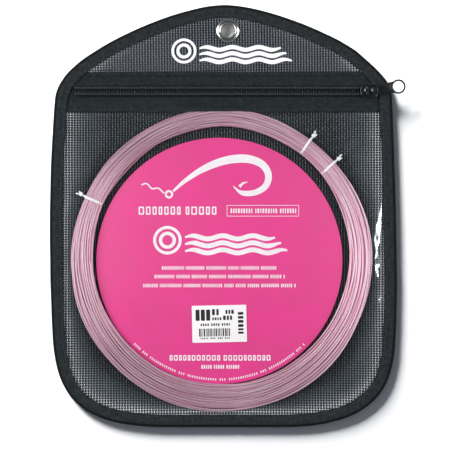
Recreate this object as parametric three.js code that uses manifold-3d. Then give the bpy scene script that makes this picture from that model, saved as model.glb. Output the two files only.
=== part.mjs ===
// A coil of leader line and its round label card in a flat zippered mesh pouch.
// Millimetres. The pouch lies on its back: +Z comes out of its front, +Y points to the hang grommet, and the
// origin is on the outer face of the back panel, on the pouch's centre line and half way up it.
import * as THREE from "three";
import { mergeVertices } from "three/addons/utils/BufferGeometryUtils.js";
import Module from "manifold-3d";

const wasm = await Module();
wasm.setup();

// ---------------------------------------------------------------- driving dimensions

const GAP = 0.3; // clearance between two pieces that touch
const SHEET = 0.5; // thickness of every mesh, vinyl and tape sheet

// The pouch's edge, soft and not quite the same on both sides. Each half runs from the crown over the shoulder and
// down to the flat foot, x measured out from the centre line: a point, the way the edge runs there, and how far
// that direction pulls on the curve before and after it.
const POUCH = {
  top: 119.6,
  bottom: -120,
  right: [
    { x: 0, y: 119.6, way: [1, 0], after: 24.8 },
    { x: 77.4, y: 91.4, way: [1, -0.94], before: 9.7, after: 10.2 },
    { x: 95.3, y: 65.7, way: [0.03, -1], before: 11.4, after: 30 },
    { x: 96, y: -81.3, way: [-0.152, -1], before: 28.2, after: 29.4 },
    { x: 32, y: -120, way: [-1, 0], before: 35.6 },
  ],
  left: [
    { x: 0, y: 119.6, way: [1, 0], after: 19.7 },
    { x: 79.9, y: 89, way: [1, -0.72], before: 22.7, after: 7.6 },
    { x: 96.1, y: 66.2, way: [0.087, -1], before: 9.3, after: 47.9 },
    { x: 97.5, y: -67.8, way: [-0.052, -1], before: 34.1, after: 37.7 },
    { x: 31.5, y: -120, way: [-1, 0], before: 48.4 },
  ],
};
const EDGE_STEPS = [10, 6, 7, 10]; // crown to arch, shoulder, side, corner
const FOOT_STEPS = 3;

const BINDING = { width: 7.4, thickness: 0.7, fold: 1.0 };
const POCKET_DROP = 1.0; // how far the pocket's back lies below the edge of the back panel

const CHAIN_Y = 70.65; // centre line of the zipper
const ZIPPER = { top: 80.9, bottom: 60.7, slit: 0.8, halfLength: 84.9 };
const NYLON = { radius: 1.0, hole: 0.62, cord: 0.3 }; // each side's coil, and the filler cord in it

const SLIDER = { x: 81.8, length: 10, halfWidth: 4.4, topPlate: 0.9 };
const FLANGE = { from: -3.6, to: 2.4 }; // the rails that hold the two coils in the slider
const NECK = { from: 0.4, to: 2.2, width: 1.0 }; // between the slider's two plates
const BOTTOM_PLATE = { from: -4.6, length: 6.9, halfWidth: 3.6, thickness: 0.7 };
const CAP = { from: -3.6, to: 2.6, leg: 1.2, opening: 1.8, height: 2.7, width: 1.8 };
const PULL = { pivot: -1.2, thickness: 1.0, ringAt: 17.7, ringRadius: 4.1, holeRadius: 3.1, yaw: 7 };

const GROMMET = { x: 2, y: 105, hole: 3.8, barrel: 4.2, flange: 6.6 };

const COIL = { x: -1.3, y: -26, outer: 85.5, width: 13, height: 5.3, segments: 80 };
const TIE_ANGLES = [154.5, 54, 41.5]; // degrees round the coil's centre
const TIE = { width: 1.6, strap: 0.4, pinchWidth: 0.2, pinchHeight: 0.32, spread: 7 };

const CARD = { x: -2.8, y: -25.6, radius: 69.9, thickness: 0.5 };
const STICKER = { x: -2.8, y: -61.3, width: 31, height: 21, thickness: 0.2 };

// ---------------------------------------------------------------- levels, from the surface up

const BACK_EDGE_Z = POCKET_DROP; // underside of the back panel inside the binding
const FRONT_Z = BACK_EDGE_Z + SHEET + GAP; // underside of the header, the tapes and the window's edge
const FRONT_TOP_Z = FRONT_Z + SHEET;
const BINDING_TOP_Z = FRONT_TOP_Z + GAP + BINDING.thickness;
const POCKET_FLOOR_Z = SHEET + GAP; // what lies in the pocket rests here
const CHAIN_Z = FRONT_TOP_Z + GAP + NYLON.radius;
const PLATE_Z = CHAIN_Z + NYLON.radius + GAP; // underside of the slider's top plate
const CAP_Z = PLATE_Z + SLIDER.topPlate + GAP;
const PIVOT_Z = CAP_Z + GAP + PULL.thickness / 2;
const COIL_Z = POCKET_FLOOR_Z + COIL.height / 2;
const COIL_MEAN_RADIUS = COIL.outer - COIL.width / 2;

// ---------------------------------------------------------------- helpers

const at = (x, y) => new THREE.Vector2(x, y);
const radians = THREE.MathUtils.degToRad;

// Triangles gathered face by face. Loops are lists of points, counter-clockwise seen from +Z.
class Skin {
  points = [];

  triangle(a, b, c) {
    this.points.push(...a, ...b, ...c);
  }

  // A strip between two loops of as many points. It faces out where `to` is above `from`, and up where `to`
  // is inside it.
  band(from, fromZ, to, toZ) {
    for (let i = 0; i < from.length; i++) {
      const j = (i + 1) % from.length;
      const [a, b] = [[...from[i], fromZ], [...from[j], fromZ]];
      const [c, d] = [[...to[j], toZ], [...to[i], toZ]];
      this.triangle(a, b, c);
      this.triangle(a, c, d);
    }
  }

  // A flat face with holes, facing up or down.
  face(loop, holes, z, up) {
    const corners = [...loop, ...holes.flat()].map((p) => [p.x, p.y, z]);
    for (const [i, j, k] of THREE.ShapeUtils.triangulateShape(loop, holes)) {
      const [a, b, c] = [corners[i], corners[j], corners[k]];
      const turn = (b[0] - a[0]) * (c[1] - a[1]) - (b[1] - a[1]) * (c[0] - a[0]);
      if (turn > 0 === up) this.triangle(a, b, c);
      else this.triangle(a, c, b);
    }
  }

  geometry() {
    const position = new THREE.Float32BufferAttribute(this.points, 3);
    return new THREE.BufferGeometry().setAttribute("position", position);
  }
}

// One half of the pouch's edge moved inwards, from the crown down to the foot, x measured outwards.
function halfEdge(knots, inset) {
  const points = [];
  const ahead = (k, reach) => at(k.x + k.way[0] * reach, k.y + k.way[1] * reach);
  EDGE_STEPS.forEach((steps, n) => {
    const [from, to] = [knots[n], knots[n + 1]];
    const curve = new THREE.CubicBezierCurve(
      at(from.x, from.y),
      ahead(from, from.after),
      ahead(to, -to.before),
      at(to.x, to.y),
    );
    for (let i = 0; i < steps; i++) {
      const p = curve.getPoint(i / steps);
      const along = curve.getTangent(i / steps);
      points.push(at(p.x + along.y * inset, p.y - along.x * inset));
    }
  });
  const foot = knots[knots.length - 1];
  for (let i = 0; i < FOOT_STEPS; i++) points.push(at(foot.x * (1 - i / FOOT_STEPS), foot.y + inset));
  return points;
}

// The pouch's edge moved inwards, counter-clockwise, with the same number of points at every inset.
function edgeLoop(inset) {
  const left = halfEdge(POUCH.left, inset).slice(1).reverse().map((p) => at(-p.x, p.y));
  return [...halfEdge(POUCH.right, inset), at(0, POUCH.bottom + inset), ...left].reverse();
}

// The same loop with everything above `top` brought down to it.
const pocketLoop = (inset, top) => edgeLoop(inset).map((p) => at(p.x, Math.min(p.y, top)));

// The part of a loop between two heights, cut straight across.
function between(loop, low, high) {
  const cut = (points, y, keepAbove) => {
    const kept = [];
    points.forEach((p, i) => {
      const q = points[(i + 1) % points.length];
      const inside = (v) => (keepAbove ? v.y >= y : v.y <= y);
      if (inside(p)) kept.push(p);
      if (inside(p) !== inside(q)) kept.push(p.clone().lerp(q, (y - p.y) / (q.y - p.y)));
    });
    return kept;
  };
  return cut(cut(loop, low, true), high, false);
}

function circleLoop(x, y, radius, count) {
  return new THREE.EllipseCurve(x, y, radius, radius).getPoints(count).slice(0, count);
}

// A sheet with a flat border and a shaped middle. under and over are its two faces, each a border loop and then
// the steps towards the middle, [loop, z]; the last step is filled flat. Holes go through the border.
function shapedSheet(under, over, holes = []) {
  const skin = new Skin();
  for (const [steps, up] of [[under, false], [over, true]]) {
    const [border, ...inner] = steps;
    skin.face(border[0], [inner[0][0], ...holes], border[1], up);
    for (let i = 1; i < inner.length; i++) {
      const [outerStep, innerStep] = [inner[i - 1], inner[i]];
      if (up) skin.band(...outerStep, ...innerStep);
      else skin.band(...innerStep, ...outerStep);
    }
    const last = inner[inner.length - 1];
    skin.face(last[0], [], last[1], up);
  }
  skin.band(...under[0], ...over[0]);
  for (const hole of holes) skin.band(hole, over[0][1], hole, under[0][1]);
  return skin.geometry();
}

function extruded(loop, z, height, holes = []) {
  const shape = new THREE.Shape(loop);
  shape.holes = holes.map((h) => new THREE.Path(h));
  return new THREE.ExtrudeGeometry(shape, { depth: height, bevelEnabled: false }).translate(0, 0, z);
}

// A ring turned about Z from a closed profile of [radius, z].
function turned(profile, segments) {
  const points = [...profile, profile[0]].map(([r, z]) => at(r, z));
  return new THREE.LatheGeometry(points, segments).rotateX(Math.PI / 2);
}

function block(x0, x1, y0, y1, z0, z1) {
  const box = new THREE.BoxGeometry(x1 - x0, y1 - y0, z1 - z0);
  return box.translate((x0 + x1) / 2, (y0 + y1) / 2, (z0 + z1) / 2);
}

function solid(geometry) {
  const bare = new THREE.BufferGeometry().setAttribute("position", geometry.getAttribute("position"));
  bare.setIndex(geometry.getIndex());
  const merged = mergeVertices(bare, 1e-4);
  const mesh = { numProp: 3, vertProperties: merged.attributes.position.array };
  mesh.triVerts = new Uint32Array(merged.index.array);
  return new wasm.Manifold(new wasm.Mesh(mesh));
}

// Several geometries joined into one closed body.
function joined(...geometries) {
  const mesh = geometries.map(solid).reduce((a, b) => a.add(b)).getMesh();
  const geometry = new THREE.BufferGeometry();
  geometry.setAttribute("position", new THREE.BufferAttribute(mesh.vertProperties, 3));
  return geometry.setIndex(new THREE.BufferAttribute(mesh.triVerts, 1));
}

// A round bar between two points.
function bar(from, to, radius) {
  const [a, b] = [new THREE.Vector3(...from), new THREE.Vector3(...to)];
  const rod = new THREE.CylinderGeometry(radius, radius, a.distanceTo(b), 8);
  const along = b.clone().sub(a).normalize();
  const turn = new THREE.Quaternion().setFromUnitVectors(new THREE.Vector3(0, 1, 0), along);
  return rod.applyQuaternion(turn).translate(...a.clone().lerp(b, 0.5));
}

const paint = (color, roughness, metalness = 0) =>
  new THREE.MeshStandardMaterial({ color, roughness, metalness });
const MATERIALS = {
  mesh: paint(0x2c3036, 0.8),
  tape: paint(0x23272b, 0.85),
  nylon: paint(0x1d2023, 0.45),
  cord: paint(0x3a3d40, 0.9),
  blackMetal: paint(0x101114, 0.3, 0.6),
  nickel: paint(0xc9c9c4, 0.25, 1),
  line: paint(0xe0b4c6, 0.2),
  tie: paint(0xf2f0ee, 0.5),
  card: paint(0xea4f97, 0.45),
  sticker: paint(0xf7f6f4, 0.6),
  vinyl: new THREE.MeshStandardMaterial({
    color: 0xdfe4e8,
    roughness: 0.1,
    transparent: true,
    opacity: 0.3,
  }),
};

function piece(name, geometry, material) {
  const mesh = new THREE.Mesh(geometry, material);
  mesh.name = name;
  return mesh;
}

// ---------------------------------------------------------------- the pouch's shell

// One tape folded round the edge: a section of [inset, z] carried round the pouch.
function edgeBinding() {
  const { width, thickness, fold } = BINDING;
  const top = BINDING_TOP_Z;
  const bend = thickness + 0.5; // where the inside of the fold starts
  const section = [
    [width, 0], [fold, 0], [0, fold], [0, top - fold], [fold, top], [width, top],
    [width, top - thickness], [bend, top - thickness], [thickness, top - bend],
    [thickness, bend], [bend, thickness], [width, thickness],
  ];
  const skin = new Skin();
  section.forEach(([inset, z], i) => {
    const [nextInset, nextZ] = section[(i + 1) % section.length];
    skin.band(edgeLoop(inset), z, edgeLoop(nextInset), nextZ);
  });
  return piece("edge_binding", skin.geometry(), MATERIALS.tape);
}

const PANEL_INSET = BINDING.thickness + GAP + 0.1;
const grommetHole = () => circleLoop(GROMMET.x, GROMMET.y, GROMMET.barrel + GAP, 24);

// The back is flat inside the binding and round the grommet, and one step lower behind the zipper and the pocket.
function backPanel() {
  const step = BINDING.width + 0.2;
  const top = ZIPPER.top - 1.5;
  const border = edgeLoop(PANEL_INSET);
  const face = (z, shift) => [
    [border, z],
    [pocketLoop(step + shift, top - shift), z],
    [pocketLoop(step + shift + 0.6, top - shift - 0.6), z - POCKET_DROP],
  ];
  const geometry = shapedSheet(face(BACK_EDGE_Z, 0), face(BACK_EDGE_Z + SHEET, 0.4), [grommetHole()]);
  return piece("back_panel", geometry, MATERIALS.mesh);
}

function headerPanel() {
  const loop = between(edgeLoop(PANEL_INSET + GAP), ZIPPER.top + GAP, POUCH.top);
  return piece("header_panel", extruded(loop, FRONT_Z, SHEET, [grommetHole()]), MATERIALS.mesh);
}

// The clear front rises steeply from the binding's inner edge and lies over the coil.
function frontWindow() {
  const top = ZIPPER.bottom - GAP;
  const border = pocketLoop(PANEL_INSET + GAP, top);
  const face = (steps) => steps.map(([inset, drop, z]) => [pocketLoop(inset, top - drop), z]);
  const under = [[8.05, 0.6, FRONT_Z], [8.15, 0.65, 4.4], [9.0, 1.6, 5.6], [11.4, 4, 6.5], [18, 10, 7.1]];
  const over = [[7.7, 0.2, FRONT_TOP_Z], [7.8, 0.3, 4.6], [8.6, 1.2, 6.0], [11, 3.6, 7.0], [18, 10, 7.6]];
  const geometry = shapedSheet([[border, FRONT_Z], ...face(under)], [[border, FRONT_TOP_Z], ...face(over)]);
  return piece("front_window", geometry, MATERIALS.vinyl);
}

// ---------------------------------------------------------------- the zipper

function zipperTape(name, low, high) {
  const loop = between(edgeLoop(PANEL_INSET + GAP), low, high);
  return piece(name, extruded(loop, FRONT_Z, SHEET), MATERIALS.tape);
}

// A straight rod or tube along X, half of its length each side of the centre line.
function alongX(radius, holeRadius, halfLength, sides) {
  const shape = new THREE.Shape(circleLoop(0, 0, radius, sides));
  if (holeRadius) shape.holes = [new THREE.Path(circleLoop(0, 0, holeRadius, sides))];
  const rod = new THREE.ExtrudeGeometry(shape, { depth: 2 * halfLength, bevelEnabled: false });
  return rod.translate(0, 0, -halfLength).rotateY(Math.PI / 2);
}

// Each side's nylon coil lies on the edge of its tape, wound round a filler cord.
function zipperSide(side, sign) {
  const y = CHAIN_Y + sign * (ZIPPER.slit + NYLON.radius);
  const tube = alongX(NYLON.radius, NYLON.hole, ZIPPER.halfLength, 12);
  const coil = piece("zipper_coil_" + side, tube, MATERIALS.nylon);
  const cord = piece("filler_cord_" + side, alongX(NYLON.cord, 0, ZIPPER.halfLength, 8), MATERIALS.cord);
  for (const mesh of [coil, cord]) mesh.position.set(0, y, CHAIN_Z);
  return [coil, cord];
}

// The slider's plate in plan: a narrower end towards the closed chain, a wide end towards the open tapes.
function plateLoop(length, halfWidth) {
  const [back, front, narrow] = [-length / 2, length / 2, halfWidth - 0.5];
  const shape = new THREE.Shape();
  shape.moveTo(back, -narrow + 1.5);
  shape.quadraticCurveTo(back, -narrow, back + 1.4, -narrow);
  shape.lineTo(front - 1.6, -halfWidth);
  shape.quadraticCurveTo(front, -halfWidth, front, -halfWidth + 1.6);
  shape.lineTo(front, halfWidth - 1.6);
  shape.quadraticCurveTo(front, halfWidth, front - 1.6, halfWidth);
  shape.lineTo(back + 1.4, narrow);
  shape.quadraticCurveTo(back, narrow, back, narrow - 1.5);
  return shape.extractPoints(4).shape.slice(0, -1);
}

function sliderBody() {
  const { length, halfWidth, topPlate } = SLIDER;
  const bottom = BOTTOM_PLATE;
  const flange = ZIPPER.slit + 2 * NYLON.radius + GAP;
  const flangeEnd = halfWidth - 0.6;
  const overlap = 0.05;
  const body = joined(
    extruded(plateLoop(length, halfWidth), PLATE_Z, topPlate),
    extruded(plateLoop(bottom.length, bottom.halfWidth), POCKET_FLOOR_Z, bottom.thickness)
      .translate(bottom.from + bottom.length / 2, 0, 0),
    block(FLANGE.from, FLANGE.to, flange, flangeEnd, FRONT_TOP_Z + GAP, PLATE_Z + overlap),
    block(FLANGE.from, FLANGE.to, -flangeEnd, -flange, FRONT_TOP_Z + GAP, PLATE_Z + overlap),
    block(
      NECK.from, NECK.to, -NECK.width / 2, NECK.width / 2,
      POCKET_FLOOR_Z + bottom.thickness - overlap, PLATE_Z + overlap,
    ),
  );
  return piece("slider_body", body, MATERIALS.blackMetal);
}

// A small arch on the slider that the pull's eye goes round.
function sliderCap() {
  const { from, to, leg, opening, height, width } = CAP;
  const side = new THREE.Shape();
  side.moveTo(from, 0);
  side.lineTo(from + leg, 0);
  side.lineTo(from + leg, opening - 0.4);
  side.lineTo(from + leg + 0.4, opening);
  side.lineTo(to - leg - 0.4, opening);
  side.lineTo(to - leg, opening - 0.4);
  side.lineTo(to - leg, 0);
  side.lineTo(to, 0);
  side.lineTo(to, height - 1.2);
  side.quadraticCurveTo(to, height, to - 1.2, height);
  side.lineTo(from + 1.2, height);
  side.quadraticCurveTo(from, height, from, height - 1.2);
  const arch = new THREE.ExtrudeGeometry(side, { depth: width, bevelEnabled: false, curveSegments: 5 });
  arch.translate(0, 0, -width / 2).rotateX(Math.PI / 2);
  const cap = piece("slider_cap", arch, MATERIALS.blackMetal);
  cap.position.z = CAP_Z;
  return cap;
}

// A flat tab: an eye round the cap, a tapering arm and a ring. Its bar under the cap is at u = 0.
function pullTab() {
  const { thickness, ringAt, ringRadius, holeRadius, yaw, pivot } = PULL;
  const [halfBar, eye, eyeEnd] = [0.6, 3.0, 7.2];
  const joint = radians(30);
  const shape = new THREE.Shape();
  shape.moveTo(-halfBar, -eye + 1);
  shape.quadraticCurveTo(-halfBar, -eye, 0.5, -eye);
  shape.lineTo(eyeEnd - 1.4, -eye);
  shape.quadraticCurveTo(eyeEnd, -eye, eyeEnd + 0.3, -eye + 0.7);
  shape.absarc(ringAt, 0, ringRadius, -Math.PI + joint, Math.PI - joint, false);
  shape.lineTo(eyeEnd + 0.3, eye - 0.7);
  shape.quadraticCurveTo(eyeEnd, eye, eyeEnd - 1.4, eye);
  shape.lineTo(0.5, eye);
  shape.quadraticCurveTo(-halfBar, eye, -halfBar, eye - 1);
  const slotEnd = eyeEnd - 1.6;
  const slot = new THREE.Path();
  slot.moveTo(halfBar, -1.9);
  slot.lineTo(halfBar, 1.9);
  slot.lineTo(slotEnd - 1, 1.9);
  slot.quadraticCurveTo(slotEnd, 1.9, slotEnd, 0.9);
  slot.lineTo(slotEnd, -0.9);
  slot.quadraticCurveTo(slotEnd, -1.9, slotEnd - 1, -1.9);
  const hole = new THREE.Path().absarc(ringAt, 0, holeRadius, 0, 2 * Math.PI, false);
  shape.holes = [slot, hole];
  const tab = new THREE.ExtrudeGeometry(shape, { depth: thickness, bevelEnabled: false, curveSegments: 10 });
  const mesh = piece("pull_tab", tab.translate(0, 0, -thickness / 2), MATERIALS.blackMetal);
  mesh.position.set(pivot, 0, PIVOT_Z);
  mesh.rotation.z = radians(yaw);
  return mesh;
}

function slider() {
  const group = new THREE.Group();
  group.position.set(SLIDER.x, CHAIN_Y, 0);
  return group.add(sliderBody(), sliderCap(), pullTab());
}

// ---------------------------------------------------------------- the hang grommet

function grommet() {
  const { hole, barrel, flange } = GROMMET;
  const seat = FRONT_TOP_Z + GAP;
  const eyelet = [
    [hole, 0], [barrel, 0], [barrel, seat], [flange - 0.3, seat], [flange, seat + 0.3],
    [flange - 0.4, seat + 0.8], [barrel + 0.2, seat + 0.8], [hole, seat + 0.3],
  ];
  const inner = barrel + GAP;
  const outer = flange - 0.2;
  const thick = BACK_EDGE_Z - GAP;
  const washer = [[inner, 0], [outer, 0], [outer, thick - 0.2], [outer - 0.2, thick], [inner, thick]];
  const group = new THREE.Group();
  group.position.set(GROMMET.x, GROMMET.y, 0);
  return group.add(
    piece("grommet_eyelet", turned(eyelet, 32), MATERIALS.nickel),
    piece("grommet_washer", turned(washer, 32), MATERIALS.nickel),
  );
}

// ---------------------------------------------------------------- the line and its ties

// The coil's outer shape: a ring of oval section, drawn in where each tie goes round it.
function lineCoil() {
  const { width, height, segments } = COIL;
  const profile = circleLoop(0, 0, 1, 12).map((p) => [COIL_MEAN_RADIUS + (p.x * width) / 2, (p.y * height) / 2]);
  const ring = turned(profile, segments);
  const position = ring.getAttribute("position");
  for (let i = 0; i < position.count; i++) {
    const p = new THREE.Vector3().fromBufferAttribute(position, i);
    const angle = THREE.MathUtils.radToDeg(Math.atan2(p.y, p.x));
    const away = Math.min(...TIE_ANGLES.map((t) => Math.abs(((angle - t + 540) % 360) - 180)));
    const pinch = Math.exp(-((away / TIE.spread) ** 2));
    const radius = Math.hypot(p.x, p.y);
    const drawnIn = COIL_MEAN_RADIUS + (radius - COIL_MEAN_RADIUS) * (1 - TIE.pinchWidth * pinch);
    const scale = drawnIn / radius;
    position.setXYZ(i, p.x * scale, p.y * scale, p.z * (1 - TIE.pinchHeight * pinch));
  }
  return piece("line_coil", ring, MATERIALS.line);
}

// A strap round the coil's section, twisted together outside it, with two short tails. X points away from the
// coil's centre.
function lineTie(name, angle) {
  const across = (COIL.width / 2) * (1 - TIE.pinchWidth) + 0.5;
  const up = (COIL.height / 2) * (1 - TIE.pinchHeight) + 0.4;
  const strap = new THREE.Shape();
  strap.absellipse(0, 0, across + TIE.strap, up + TIE.strap, 0, 2 * Math.PI, false, 0);
  strap.holes = [new THREE.Path().absellipse(0, 0, across, up, 0, 2 * Math.PI, false, 0)];
  const loop = new THREE.ExtrudeGeometry(strap, { depth: TIE.width, bevelEnabled: false, curveSegments: 12 });
  loop.translate(0, 0, -TIE.width / 2).rotateX(Math.PI / 2);
  const twistStart = across + TIE.strap / 2;
  const twistEnd = twistStart + 2.8;
  const tail = (side) => bar([twistEnd - 0.4, 0, 0], [twistEnd + 1.9, side * 1.2, 0], 0.35);
  const geometry = joined(loop, bar([twistStart, 0, 0], [twistEnd, 0, 0], 0.6), tail(1), tail(-1));
  const tie = piece(name, geometry.translate(COIL_MEAN_RADIUS, 0, 0), MATERIALS.tie);
  tie.rotation.z = radians(angle);
  return tie;
}

function coilOfLine() {
  const group = new THREE.Group();
  group.position.set(COIL.x, COIL.y, COIL_Z);
  return group.add(lineCoil(), ...TIE_ANGLES.map((angle, i) => lineTie("line_tie_" + (i + 1), angle)));
}

// ---------------------------------------------------------------- the label card

function labelCard() {
  const disc = new THREE.CylinderGeometry(CARD.radius, CARD.radius, CARD.thickness, 80).rotateX(Math.PI / 2);
  const card = piece("label_card", disc, MATERIALS.card);
  card.position.set(CARD.x, CARD.y, POCKET_FLOOR_Z + CARD.thickness / 2);
  return card;
}

function barcodeSticker() {
  const { x, y, width, height, thickness } = STICKER;
  const sticker = piece("barcode_sticker", new THREE.BoxGeometry(width, height, thickness), MATERIALS.sticker);
  sticker.position.set(x, y, POCKET_FLOOR_Z + CARD.thickness + GAP + thickness / 2);
  return sticker;
}

// ---------------------------------------------------------------- the whole part

const part = new THREE.Group();
part.name = "leader_coil_pouch";
part.add(
  backPanel(),
  headerPanel(),
  frontWindow(),
  edgeBinding(),
  zipperTape("zipper_tape_upper", CHAIN_Y + ZIPPER.slit, ZIPPER.top),
  zipperTape("zipper_tape_lower", ZIPPER.bottom, CHAIN_Y - ZIPPER.slit),
  ...zipperSide("upper", 1),
  ...zipperSide("lower", -1),
  slider(),
  grommet(),
  coilOfLine(),
  labelCard(),
  barcodeSticker(),
);

export default part;
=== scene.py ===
"""Looks for a coil of leader line and its label card in a flat zippered mesh pouch.

Lengths below are millimetres in the part's own frame, and become metres where an object is made.
"""

import math

import bmesh
import bpy
import numpy as np
from mathutils import Matrix, Vector


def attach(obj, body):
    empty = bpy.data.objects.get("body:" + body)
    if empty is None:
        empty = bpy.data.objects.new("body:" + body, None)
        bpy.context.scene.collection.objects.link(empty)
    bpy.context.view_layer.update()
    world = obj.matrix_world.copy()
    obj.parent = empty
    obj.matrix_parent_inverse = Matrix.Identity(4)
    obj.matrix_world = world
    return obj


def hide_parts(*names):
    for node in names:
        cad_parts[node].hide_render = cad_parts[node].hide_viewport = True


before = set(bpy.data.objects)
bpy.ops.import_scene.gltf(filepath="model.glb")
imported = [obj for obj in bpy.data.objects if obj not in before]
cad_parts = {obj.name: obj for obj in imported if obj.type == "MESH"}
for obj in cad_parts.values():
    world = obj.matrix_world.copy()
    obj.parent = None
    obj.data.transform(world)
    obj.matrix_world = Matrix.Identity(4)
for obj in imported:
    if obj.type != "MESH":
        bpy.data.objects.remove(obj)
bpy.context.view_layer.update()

MM = 0.001

# ---------------------------------------------------------------- dimensions, as in the CAD source

BOTTOM = -120
# each half of the pouch's edge from the crown down: x, y, the way it runs, and its pull before and after the point
RIGHT_EDGE = (
    (0, 119.6, 1, 0, 0, 24.8),
    (77.4, 91.4, 1, -0.94, 9.7, 10.2),
    (95.3, 65.7, 0.03, -1, 11.4, 30),
    (96, -81.3, -0.152, -1, 28.2, 29.4),
    (32, -120, -1, 0, 35.6, 0),
)
LEFT_EDGE = (
    (0, 119.6, 1, 0, 0, 19.7),
    (79.9, 89, 1, -0.72, 22.7, 7.6),
    (96.1, 66.2, 0.087, -1, 9.3, 47.9),
    (97.5, -67.8, -0.052, -1, 34.1, 37.7),
    (31.5, -120, -1, 0, 48.4, 0),
)
BINDING_TOP, STITCH_INSET = 3.3, 5.95
BACK_INSET, HEADER_INSET = 1.6, 1.8  # how far inside the edge each cloth ends
HEADER_FOOT, WINDOW_HEAD = 80.4, 60.4
CHAIN_Y, CHAIN_Z, CHAIN_HALF, NYLON_OFFSET = 70.65, 3.5, 84.9, 1.8
TAPE_Z = 1.84  # underside of the tapes where the coil doesn't lift them
SLIDER_X, PIVOT, PULL_YAW = 81.8, (80.6, 70.65, 6.9), 7.0
GROMMET = (2.0, 105.0)
COIL, COIL_MEAN, COIL_Z = (-1.3, -26.0), 79.0, 3.45
TIE_ANGLES = (154.5, 54.0, 41.5)
CARD, CARD_RADIUS, CARD_BOTTOM, CARD_TOP = (-2.8, -25.6), 69.9, 0.8, 1.3
STICKER, STICKER_SIZE, STICKER_Z = (-2.8, -61.3), (31.0, 21.0), (1.6, 1.8)

LINE_DIAMETER, LINE_LENGTH = 0.91, 22900.0

# ---------------------------------------------------------------- camera and light

camera = bpy.data.objects.new("camera", bpy.data.cameras.new("camera"))
bpy.context.scene.collection.objects.link(camera)
camera.data.lens, camera.data.sensor_width = 120, 36
camera.data.clip_start, camera.data.clip_end = 0.05, 10
VIEW_WIDTH, POUCH_MIDDLE_Z = 0.2549, 0.003
camera.location = (0.0004, -0.00525, VIEW_WIDTH * camera.data.lens / camera.data.sensor_width + POUCH_MIDDLE_Z)
bpy.context.scene.camera = camera
bpy.context.scene.view_settings.view_transform = "Standard"


def softbox(name, position, target, width, height, power):
    """A rectangular area light at position, facing target."""
    light = bpy.data.lights.new(name, "AREA")
    light.shape, light.size, light.size_y, light.energy = "RECTANGLE", width, height, power
    obj = bpy.data.objects.new(name, light)
    bpy.context.scene.collection.objects.link(obj)
    obj.location = position
    obj.rotation_euler = (Vector(target) - Vector(position)).to_track_quat("-Z", "Y").to_euler()
    return obj


def light_only(light, *pieces, leave_out=False):
    """Link a light to some pieces, or to everything except them."""
    group = bpy.data.collections.new(light.name + "_lights")
    for piece in pieces:
        group.objects.link(piece)
    if leave_out:
        for member in group.collection_objects:
            member.light_linking.link_state = "EXCLUDE"
    light.light_linking.receiver_collection = group


def studio_world():
    """Soft light that comes from all sides, and hardly any from straight above."""
    world = bpy.data.worlds.new("world")
    bpy.context.scene.world = world
    world.use_nodes = True
    tree = world.node_tree
    at = tree.nodes.new("ShaderNodeTexCoord")
    split = tree.nodes.new("ShaderNodeSeparateXYZ")
    ramp = tree.nodes.new("ShaderNodeValToRGB")
    tree.links.new(at.outputs["Generated"], split.inputs[0])
    tree.links.new(split.outputs["Z"], ramp.inputs[0])
    low, high = ramp.color_ramp.elements
    low.position, low.color = 0.25, (0.80, 0.87, 1.0, 1)
    high.position, high.color = 0.95, (0.10, 0.11, 0.13, 1)
    tree.links.new(ramp.outputs[0], tree.nodes["Background"].inputs["Color"])
    tree.nodes["Background"].inputs["Strength"].default_value = 0.37


studio_world()
left_key = softbox("left_key", (-0.72, 0.16, 0.72), (0, 0, 0), 0.6, 0.8, 10.6)
right_key = softbox("right_key", (0.74, 0.10, 0.70), (0, 0, 0), 0.5, 0.8, 7.4)
floor_key = softbox("floor_key", (-1.1, 1.5, 0.54), (0, 0, 0), 0.76, 0.70, 205)
glint = softbox("glint", (0.72, 0.07, 0.37), (0.085, -0.02, 0), 0.27, 0.07, 1.8)

# ---------------------------------------------------------------- mesh helpers


def make(name, points, faces, material, smooth=True, uv=None):
    """A mesh object from points in millimetres. uv holds one pair for each point."""
    mesh = bpy.data.meshes.new(name)
    mesh.from_pydata((np.asarray(points, float) * MM).tolist(), [], faces)
    mesh.polygons.foreach_set("use_smooth", [smooth] * len(mesh.polygons))
    if uv is not None:
        corners = np.empty(len(mesh.loops), int)
        mesh.loops.foreach_get("vertex_index", corners)
        layer = mesh.uv_layers.new(name="lay")
        layer.data.foreach_set("uv", np.asarray(uv, np.float32)[corners].ravel())
    mesh.update()
    obj = bpy.data.objects.new(name, mesh)
    bpy.context.scene.collection.objects.link(obj)
    mesh.materials.append(material)
    return obj


class Shape:
    """Points and faces gathered piece by piece into one mesh."""

    def __init__(self):
        self.points, self.faces, self.uv, self.count = [], [], [], 0

    def add(self, points, faces, uv=None):
        points = np.asarray(points, float)
        self.points.append(points)
        self.faces += [tuple(i + self.count for i in f) for f in faces]
        self.uv.append(np.zeros((len(points), 2)) if uv is None else np.asarray(uv, float))
        self.count += len(points)

    def make(self, name, material, smooth=True, with_uv=False):
        uv = np.concatenate(self.uv) if with_uv else None
        return make(name, np.concatenate(self.points), self.faces, material, smooth, uv)


def belongs(obj, body, slot, *nodes):
    """It rides on a body and hides the CAD nodes it stands for, if any. slot is not used."""
    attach(obj, body)
    if nodes:
        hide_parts(*nodes)
    return obj


def unit(v):
    return v / np.maximum(np.linalg.norm(v, axis=-1, keepdims=True), 1e-12)


def along_line(points):
    """How far along a line each of its points lies."""
    return np.concatenate([[0], np.cumsum(np.linalg.norm(np.diff(points, axis=0), axis=1))])


def tube_faces(n, k, closed=True, flip=False):
    """Faces between n sections of k points each, the first joined to the last if closed."""
    made = []
    for i in range(n if closed else n - 1):
        a, b = i * k, (i + 1) % n * k
        for j in range(k):
            m = (j + 1) % k
            made.append((a + j, b + j, b + m, a + m) if flip else (a + j, a + m, b + m, b + j))
    return made


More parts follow.
